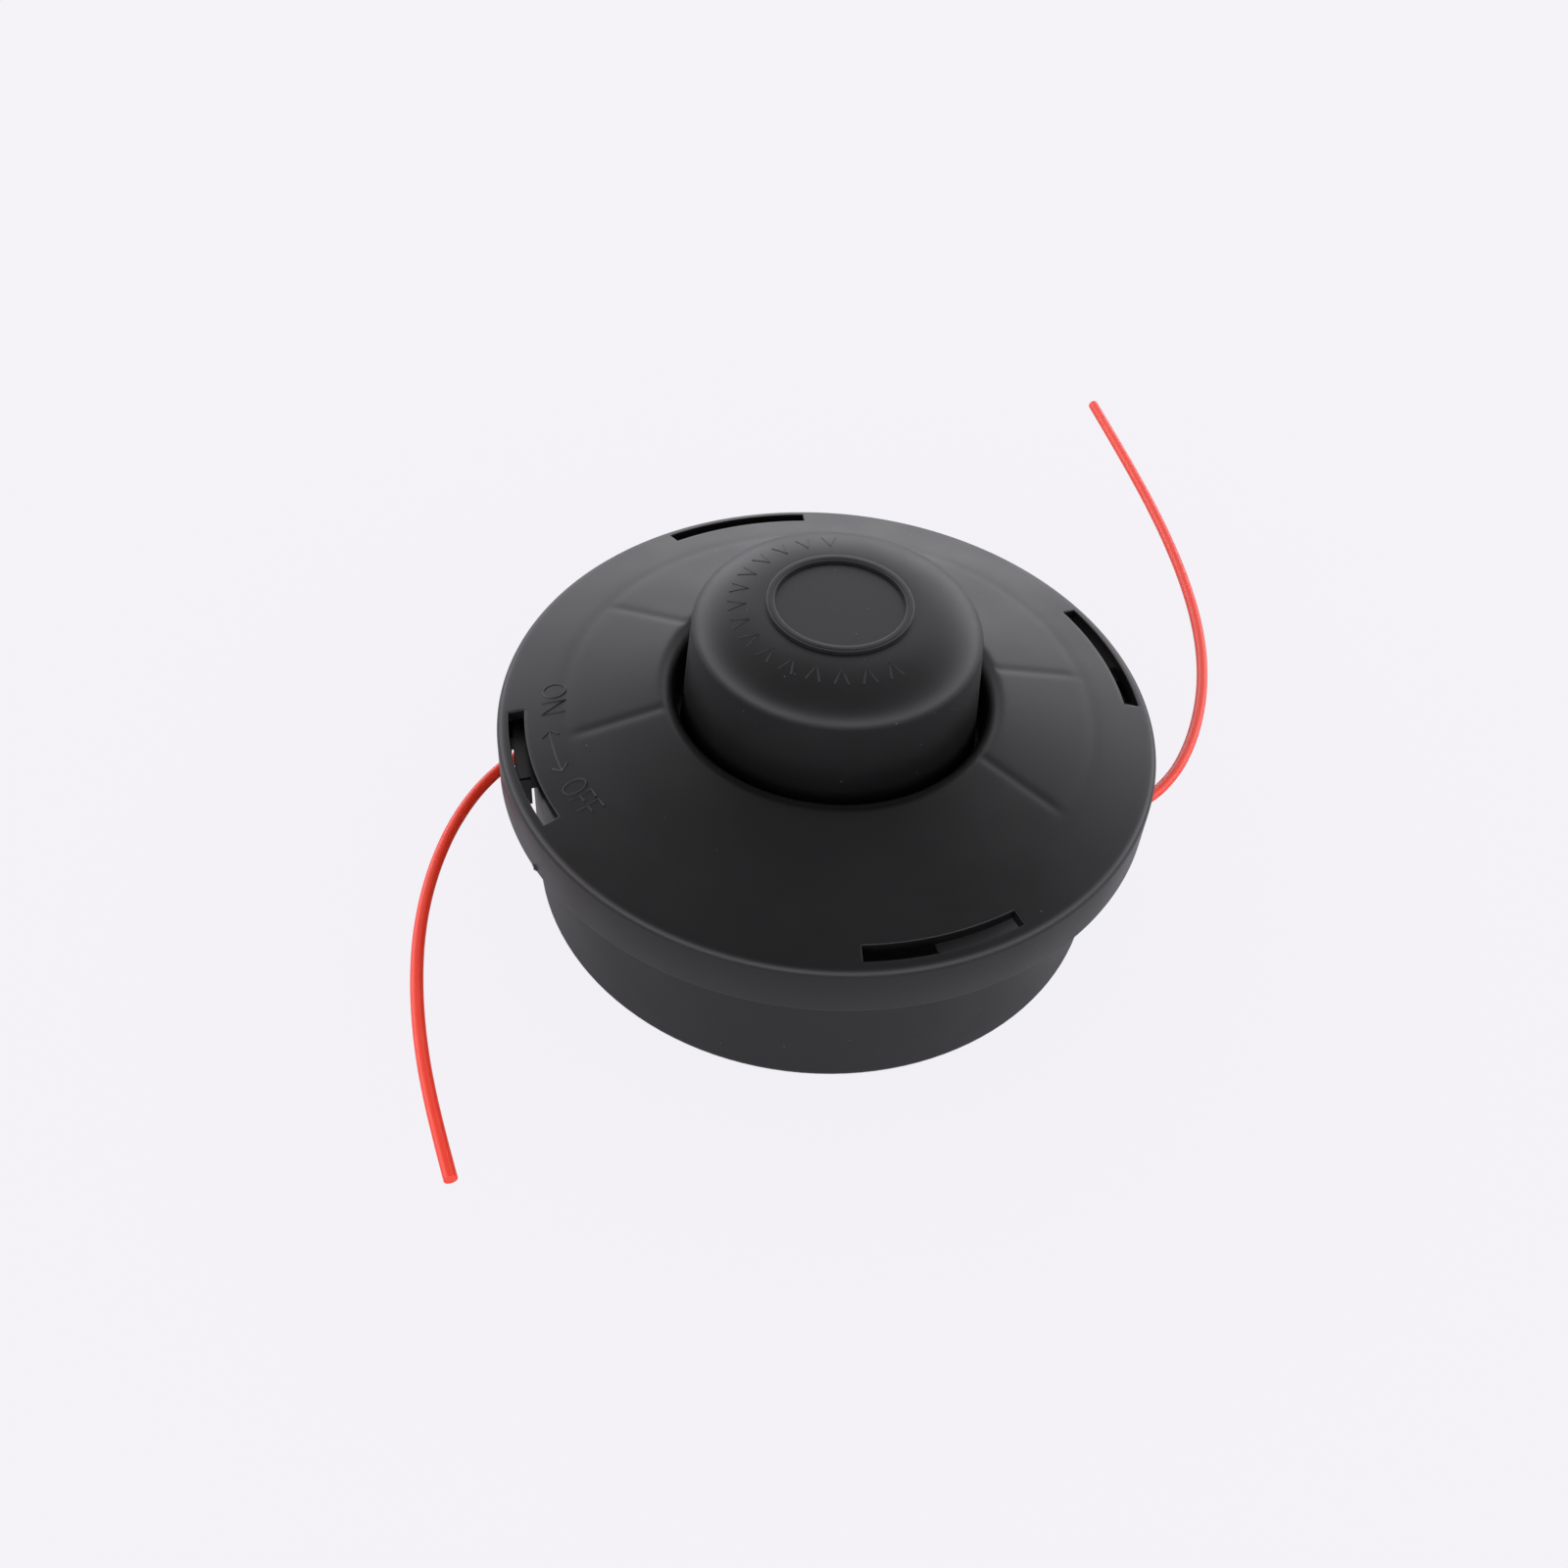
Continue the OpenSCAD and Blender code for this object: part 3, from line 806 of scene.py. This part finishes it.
@dataclass
class Cover:
    """The bayonet cover: skirt, sloping face, lip round the knob, slots, lugs, dogs and ribs."""

    wall: float = 2.3 * MM
    skirt_height: float = 10.6 * MM
    slope: float = 13.2
    rim_round: float = 1.8 * MM
    lip_round: float = 3.0 * MM
    foot_round: float = 0.3 * MM
    opening: float = 30.0 * MM
    collar: float = 32.2 * MM
    collar_foot: float = 36.5 * MM
    slots: int = 4
    slot_start: float = 9.6
    slot_span: float = 28.2
    slot_width: float = 3.0 * MM
    slot_edge: float = 0.18 * MM
    seat: float = 0.4 * MM
    lug_inner: float = 59.2 * MM
    lug_lift: float = 1.0 * MM
    lug_height: float = 3.2 * MM
    lug_span: float = 18.0
    stop_span: float = 3.8
    ring_inner: float = 51.4 * MM
    ring_outer: float = 53.2 * MM
    ring_foot: float = 37.09 * MM
    dogs: int = 6
    dog_dir: float = 22.0
    dog_span: float = 8.0
    dog_outer: float = 38.5 * MM
    dog_foot: float = 36.65 * MM
    eyelet_dirs: tuple[float, float] = (-4.0, 176.0)
    rib_turn: float = 22.0
    rib_width: float = 1.6 * MM
    rib_foot: float = 40.15 * MM
    stub_foot: float = 39.79 * MM
    sink_dirs: tuple[float, ...] = (-28.0, 16.5, 156.0, 200.0)
    sink_width: float = 1.1 * MM
    sink_depth: float = 0.13 * MM
    letter_height: float = 4.4 * MM
    on_radius: float = 55.5 * MM
    off_radius: float = 55.8 * MM
    arrow_length: float = 11.4 * MM
    mark_radius: float = 0.24 * MM
    mark_sunk: float = 0.08 * MM
    step: float = 0.6
    outer: float = field(init=False)
    seam: float = field(init=False)

    def __post_init__(self) -> None:
        """Takes the cover's radius and lower edge from the frame."""
        low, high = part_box("cover")
        self.outer = high[0]
        self.seam = low[2]
        self.inside = self.outer - self.wall
        self.corner = self.seam + self.skirt_height
        self.slot_inner = self.inside - self.slot_width

    def face(self, radius: float) -> float:
        """Height of the sloping face at a radius."""
        return self.corner + (self.outer - radius) * math.tan(math.radians(self.slope))

    def under(self, radius: float) -> float:
        """Height of the face's underside at a radius."""
        return self.face(radius) - self.wall / math.cos(math.radians(self.slope))

    def _outline(self) -> list[Flat]:
        """The section of the shell, with a ring of points wherever the face is shaped further."""
        lean = 90.0 - self.slope
        rim = (self.outer - self.rim_round, self.corner - self.rim_round * math.tan(math.radians(lean / 2)))
        lip_r = self.opening + self.lip_round
        lip = (lip_r, self.face(lip_r) - self.lip_round / math.cos(math.radians(self.slope)))
        lip_arc = arc(lip, self.lip_round, 180.0, lean, 12)
        rim_arc = arc(rim, self.rim_round, lean, 0.0, 8)
        face_radii = between(lip_arc[-1][0], self.slot_inner, 28)[1:] + between(self.slot_inner, self.inside, 4)[1:]
        under_radii = between(self.inside, self.slot_inner, 4) + between(self.slot_inner, self.collar, 6)[1:]
        foot = arc((self.outer - self.foot_round, self.seam + self.foot_round), self.foot_round, 0.0, -90.0, 3)
        return [
            *foot,
            (self.inside, self.seam),
            *((r, self.under(r)) for r in under_radii),
            (self.collar, self.collar_foot),
            (self.opening, self.collar_foot),
            *lip_arc,
            *((r, self.face(r)) for r in face_radii),
            *rim_arc,
        ]

    def _cut_slot(self, cover: Piece, start: float) -> None:
        """Opens one slot through the face and rounds its edges."""
        near = 0.02 * MM
        end = start + self.slot_span

        def inside(point: Vector, margin: float) -> bool:
            """Whether a point lies over the slot."""
            turned = (direction_of(point) - start) % 360.0
            ring = self.slot_inner - margin < radius_of(point) < self.inside + margin
            degrees = math.degrees(margin / self.inside)
            return ring and (turned < end - start + degrees or turned > 360.0 - degrees)

        def over(point: Vector) -> bool:
            """Whether a point lies on the face or on its underside."""
            return point.z > self.under(radius_of(point)) - near

        with editing(cover, "FACE"):
            pick(cover, "faces", lambda f: inside(f.calc_center_median(), 0.0) and over(f.calc_center_median()))
            bpy.ops.mesh.delete(type="FACE")
        with editing(cover, "EDGE"):
            pick(cover, "edges", lambda e: e.is_boundary and all(inside(v.co, near) for v in e.verts))
            bpy.ops.mesh.bridge_edge_loops()
        with editing(cover, "EDGE"):
            pick(
                cover, "edges",
                lambda e: all(inside(v.co, near) and v.co.z > self.face(radius_of(v.co)) - near for v in e.verts)
                and e.calc_face_angle(0.0) > math.radians(40.0),
            )
            bpy.ops.mesh.bevel(offset=self.slot_edge, segments=3, profile=0.5, affect="EDGES")

    def _under_outline(self, inner: float, outer: float, low: float) -> list[Flat]:
        """A section that hangs under the face between two radii, let into it a little."""
        top_inner = self.under(inner) + self.seat
        top_outer = self.under(outer) + self.seat
        return [(inner, low), (outer, low), (outer, top_outer), (inner, top_inner)]

    def _add_lugs(self, cover: Piece) -> None:
        """Adds the bayonet lugs inside the skirt, each with the stop on its OFF end."""
        shelf = self.lug_span - self.stop_span
        low = self.seam + self.lug_lift
        out = self.inside + self.wall / 2
        for i in range(self.slots):
            start = self.slot_start + i * 360.0 / self.slots
            ledge = rectangle(self.lug_inner, out, low, low + self.lug_height)
            stop = rectangle(self.lug_inner, out, low, low + 2 * self.lug_height)
            combine(cover, turn_sector("lug", ledge, start, shelf + 0.1), "UNION")
            combine(cover, turn_sector("stop", stop, start + shelf, self.stop_span), "UNION")

    def _add_dogs_and_ribs(self, cover: Piece) -> None:
        """Adds the centring ring, the index dogs and the ribs under the face."""
        ring = self._under_outline(self.ring_inner, self.ring_outer, self.ring_foot)
        combine(cover, turn_ring("centring_ring", ring, round(360.0 / self.step)), "UNION")
        for i in range(self.dogs):
            dog = self._under_outline(self.collar - self.seat, self.dog_outer, self.dog_foot)
            start = self.dog_dir - self.dog_span / 2 + i * 360.0 / self.dogs
            combine(cover, turn_sector("dog", dog, start, self.dog_span), "UNION")
        for eyelet in self.eyelet_dirs:
            for turn in (-self.rib_turn, self.rib_turn):
                rib = self._under_outline(self.collar - self.seat, self.ring_inner + self.seat, self.rib_foot)
                combine(cover, straight_rib("rib", rib, self.rib_width, eyelet + turn), "UNION")
            stub = self._under_outline(self.ring_outer - self.seat, self.inside + self.seat, self.stub_foot)
            combine(cover, straight_rib("rib", stub, self.rib_width, eyelet), "UNION")

    def _sink(self, cover: Piece) -> None:
        """Lets the face sink a little over the ribs and the ring, as a moulding does."""

        def depth(point: Vector) -> float:
            """How far the face sinks at a point, from 0 to 1."""
            radius = radius_of(point)
            if radius < self.opening + self.lip_round or point.z < self.face(radius) - 0.1 * MM:
                return 0.0
            total = 0.0
            for rib in self.sink_dirs:
                side = radius * math.radians((direction_of(point) - rib + 180.0) % 360.0 - 180.0)
                fade = min(1.0, max(0.0, (self.ring_inner - radius) / (3 * MM)))
                total += fade * math.exp(-((side / self.sink_width) ** 2))
            total += 0.45 * math.exp(-(((radius - self.ring_inner) / self.sink_width) ** 2))
            return min(1.0, total)

        group = cover.vertex_groups.new(name="sink_marks")
        for vertex in cover.data.vertices:
            weight = depth(vertex.co)
            if weight > 0.01:
                group.add([vertex.index], weight, "REPLACE")
        apply_modifier(
            cover, "DISPLACE", vertex_group="sink_marks", strength=-self.sink_depth, mid_level=0.0,
        )

    def _on_face(self, radius: float, start: float, strokes: Sequence[Sequence[Flat]]) -> list[list[Vector]]:
        """Lays flat strokes on the face: along them runs round the axis, up runs inwards.

        Args:
            radius: radius of the marks' lower edge.
            start: direction of the marks' left edge.
            strokes: lines of points, each along and up, in metres.

        Returns:
            The points of each line on the face.
        """
        lines = []
        for stroke in strokes:
            line = []
            for along, up in stroke:
                at = radius - up
                line.append(polar(at, start + math.degrees(along / radius), self.face(at) - self.mark_sunk))
            lines.append(line)
        return lines

    def _marks(self) -> Piece:
        """The raised marks that say which way the cover turns: ON, a double arrow, OFF."""
        tall = self.letter_height
        lines = []
        lines += self._on_face(self.on_radius, -176.4, letter("O", 3.9 * MM, tall))
        lines += self._on_face(self.on_radius, -171.2, letter("N", 3.2 * MM, tall))
        lines += self._on_face(self.off_radius, -148.0, letter("O", 3.1 * MM, tall))
        lines += self._on_face(self.off_radius, -144.0, letter("F", 2.3 * MM, tall))
        lines += self._on_face(self.off_radius, -140.9, letter("F", 2.3 * MM, tall))
        length = self.arrow_length
        barb = 1.5 * MM
        middle = tall / 2
        arrow = [
            [(x, middle) for x in between(0.0, length, 12)],
            [(barb, middle + barb), (0.0, middle), (barb, middle - barb)],
            [(length - barb, middle + barb), (length, middle), (length - barb, middle - barb)],
        ]
        lines += self._on_face(self.on_radius + 1.0 * MM, -163.0, arrow)
        return beads("turn_marks", lines, self.mark_radius)

    def _burr(self) -> Piece:
        """A crumb of flash left on the skirt's lower edge."""
        at = self.outer - 0.1 * MM
        lift = self.seam + 0.5 * MM
        lines = [
            [polar(at, -142.9, lift), polar(at, -142.2, lift + 0.3 * MM), polar(at, -141.6, lift - 0.1 * MM)],
            [polar(at, -142.4, lift + 0.5 * MM), polar(at + 0.2 * MM, -142.0, lift - 0.2 * MM)],
        ]
        return beads("flash_crumb", lines, 0.3 * MM)

    def build(self, material: bpy.types.Material) -> Piece:
        """Models the cover and hangs it on its body."""
        cover = turn_ring("cover_nylon", self._outline(), round(360.0 / self.step))
        for i in range(self.slots):
            self._cut_slot(cover, self.slot_start + i * 360.0 / self.slots)
        self._add_lugs(cover)
        self._add_dogs_and_ribs(cover)
        self._sink(cover)
        smooth(cover)
        settle(self._marks(), Body.COVER, material)
        settle(self._burr(), Body.COVER, material)
        return settle(cover, Body.COVER, material, "cover")


# The knob


@dataclass
class Knob:
    """The bump knob: a domed cup with a ring on top."""

    wall: float = 2.5 * MM
    draft: float = 1.8 * MM
    crown_height: float = 6.8 * MM
    ring_outer: float = 13.7 * MM
    ring_width: float = 1.6 * MM
    ring_height: float = 0.8 * MM
    ring_edge: float = 0.3 * MM
    foot_edge: float = 0.6 * MM
    collar_height: float = 7.0 * MM
    ribs: int = 6
    snaps: int = 4
    snap_inner: float = 24.4 * MM
    snap_foot: float = 38.0 * MM
    snap_height: float = 1.8 * MM
    snap_span: float = 18.0
    marks: int = 15
    first_mark: float = 100.0
    last_mark: float = 304.0
    mark_inner: float = 17.4 * MM
    mark_length: float = 3.3 * MM
    mark_half_width: float = 1.3 * MM
    mark_radius: float = 0.2 * MM
    mark_sunk: float = 0.07 * MM
    steps: int = 240
    outer: float = field(init=False)

    def __post_init__(self) -> None:
        """Takes the knob's radius and heights from the frame."""
        low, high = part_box("knob")
        self.outer = high[0]
        self.foot = low[2]
        self.top = high[2]
        self.shoulder = self.outer - self.draft
        self.shoulder_z = self.top - self.crown_height

    def crown(self, inset: float, parts: int) -> list[Flat]:
        """The crown's section, from the shoulder up to the ring's foot."""
        points = []
        for angle in between(0.0, 90.0, parts):
            a = math.radians(angle)
            radius = self.ring_outer + (self.shoulder - inset - self.ring_outer) * math.cos(a)
            points.append((radius, self.shoulder_z + (self.crown_height - self.ring_height - inset) * math.sin(a)))
        return points

    def _outline(self) -> list[Flat]:
        """The section of the knob."""
        disc = self.top - self.ring_height
        edge = self.ring_edge
        outside = self.ring_outer
        inside = self.ring_outer - self.ring_width
        bore = self.outer - self.wall
        foot = arc((self.outer - self.foot_edge, self.foot + self.foot_edge), self.foot_edge, -90.0, 0.0, 4)
        return [
            *foot,
            *self.crown(0.0, 24),
            *arc((outside - edge, self.top - edge), edge, 0.0, 90.0, 3),
            *arc((inside + edge, self.top - edge), edge, 90.0, 180.0, 3),
            (inside, disc),
            (0.0, disc),
            (0.0, disc - self.wall),
            *reversed(self.crown(self.wall, 12)),
            (bore, self.foot + self.collar_height),
            (bore, self.foot),
        ]

    def _crown_at(self, radius: float) -> float:
        """Height of the crown at a radius."""
        share = (radius - self.ring_outer) / (self.shoulder - self.ring_outer)
        return self.shoulder_z + (self.crown_height - self.ring_height) * math.sqrt(max(0.0, 1.0 - share**2))

    def _add_inside(self, knob: Piece) -> None:
        """Adds the ribs under the crown and the lugs that snap into the spool's collar."""
        bore = self.outer - self.wall
        low = self.shoulder_z - 3.7 * MM
        for i in range(self.ribs):
            top = [(p[0], p[1] + 0.3 * MM) for p in reversed(self.crown(self.wall, 8)[:-1])]
            side = [(self.ring_outer - 3 * MM, low), (bore + 0.3 * MM, low), *reversed(top)]
            side.append((self.ring_outer - 3 * MM, top[0][1]))
            combine(knob, straight_rib("knob_rib", side, 2.0 * MM, 30.0 + i * 360.0 / self.ribs), "UNION")
        for i in range(self.snaps):
            lug = rectangle(self.snap_inner, bore + 0.8 * MM, self.snap_foot, self.snap_foot + self.snap_height)
            start = 45.0 + i * 360.0 / self.snaps - self.snap_span / 2
            combine(knob, turn_sector("snap_lug", lug, start, self.snap_span, 1.5), "UNION")

    def _marks(self) -> Piece:
        """Plain raised chevrons round the ring that point at the place to press."""
        lines = []
        for middle in between(self.first_mark, self.last_mark, self.marks - 1):
            line = []
            for side, up in ((-1.0, 1.0), (0.0, 0.0), (1.0, 1.0)):
                for_radius = self.mark_inner + up * self.mark_length
                turn = middle + side * math.degrees(self.mark_half_width / for_radius)
                line.append(polar(for_radius, turn, self._crown_at(for_radius) - self.mark_sunk))
            lines.append([
                line[0], (line[0] + line[1]) / 2 + Vector((0, 0, 0.03 * MM)), line[1],
                (line[1] + line[2]) / 2 + Vector((0, 0, 0.03 * MM)), line[2],
            ])
        return beads("press_marks", lines, self.mark_radius)

    def build(self, material: bpy.types.Material) -> Piece:
        """Models the knob and hangs it on its body."""
        knob = turn_ring("knob_nylon", self._outline(), self.steps)
        self._add_inside(knob)
        smooth(knob)
        settle(self._marks(), Body.SPOOL, material)
        return settle(knob, Body.SPOOL, material, "knob")


# The arbor nut


@dataclass
class ArborNut:
    """The steel nut that takes the gearbox shaft: the frame's nut with its thread cut."""

    bore: float = 4.32 * MM
    root: float = 5.0 * MM
    pitch: float = 1.25 * MM
    steps: int = 40

    def build(self, node: Piece, material: bpy.types.Material) -> Piece:
        """Cuts the left-hand thread into a copy of the nut and hangs it on the housing."""
        nut = node.copy()
        nut.data = node.data.copy()
        nut.name = "arbor_nut_steel"
        nut.parent = None
        nut.matrix_world = Matrix.Identity(4)
        bpy.context.scene.collection.objects.link(nut)
        close_up(nut)
        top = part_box("arbor_nut")[1][2] + self.pitch
        base = 0.46 * self.pitch
        tip = 0.07 * self.pitch
        inner = self.bore - 0.15 * MM
        groove = [(inner, top - base), (self.root, top - tip), (self.root, top + tip), (inner, top + base)]
        cutter = draw_outline("thread_cutter", groove)
        turns = math.ceil((top + self.pitch) / self.pitch)
        apply_modifier(
            cutter, "SCREW", angle=math.tau, screw_offset=-self.pitch, iterations=turns,
            steps=self.steps, render_steps=self.steps, use_merge_vertices=False,
        )
        with editing(cutter):
            bpy.ops.mesh.select_all(action="SELECT")
            bpy.ops.mesh.remove_doubles(threshold=0.001 * MM)
            bpy.ops.mesh.select_all(action="SELECT")
            bpy.ops.mesh.fill_holes(sides=8)
            bpy.ops.mesh.select_all(action="SELECT")
            bpy.ops.mesh.normals_make_consistent(inside=False)
        combine(nut, cutter, "DIFFERENCE")
        smooth(nut)
        return settle(nut, Body.HOUSING, material, "arbor_nut")


# The nodes that keep their own meshes


@dataclass(frozen=True)
class Dressing:
    """The finishes of the nodes whose own meshes are shown."""

    finishes: dict[str, bpy.types.Material]

    def dress(self, nodes: dict[str, Piece]) -> None:
        """Gives each named node its finish."""
        for name, material in self.finishes.items():
            piece = nodes[name]
            piece.data.materials.clear()
            piece.data.materials.append(material)
            log.info("%s dressed in %s", name, material.name)


def main() -> None:
    """Builds the trimmer head around the frame, piece by piece."""
    logging.basicConfig(level=logging.INFO, format="%(name)s: %(message)s")
    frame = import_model()
    bpy.context.scene.view_settings.view_transform = "Standard"
    Camera().build()
    Studio().build()
    line = LineNylon("orange_red_monofilament").material()
    RIGHT_TAIL.build(line)
    LEFT_TAIL.build(line)
    cover_nylon = MouldedNylon("satin_black_cover_nylon").material()
    knob_nylon = MouldedNylon("satin_black_knob_nylon", roughness=0.4, dust_share=0.12).material()
    zinc = PlatedSteel("bright_zinc_plated_steel").material()
    Cover().build(cover_nylon)
    Knob().build(knob_nylon)
    ArborNut().build(frame["nodes"]["arbor_nut"], zinc)
    housing_nylon = MouldedNylon("black_glass_filled_nylon", colour="#0e0e10", roughness=0.42).material()
    acetal = MouldedNylon("dark_grey_acetal", colour="#37373a", roughness=0.38).material()
    eyelet_steel = PlatedSteel("polished_hardened_steel", colour="#c4c5c8", roughness=0.2).material()
    wire = PlatedSteel("zinc_plated_spring_wire", colour="#a7a8ac", lay=Lay.ALONG).material()
    Dressing({
        "housing": housing_nylon, "eyelet_right": eyelet_steel,
        "eyelet_left": eyelet_steel, "spring": wire, "spring_washer": zinc, "spool": acetal,
        "wound_line_right": line, "wound_line_left": line,
    }).dress(frame["nodes"])


if __name__ == "__main__":
    main()
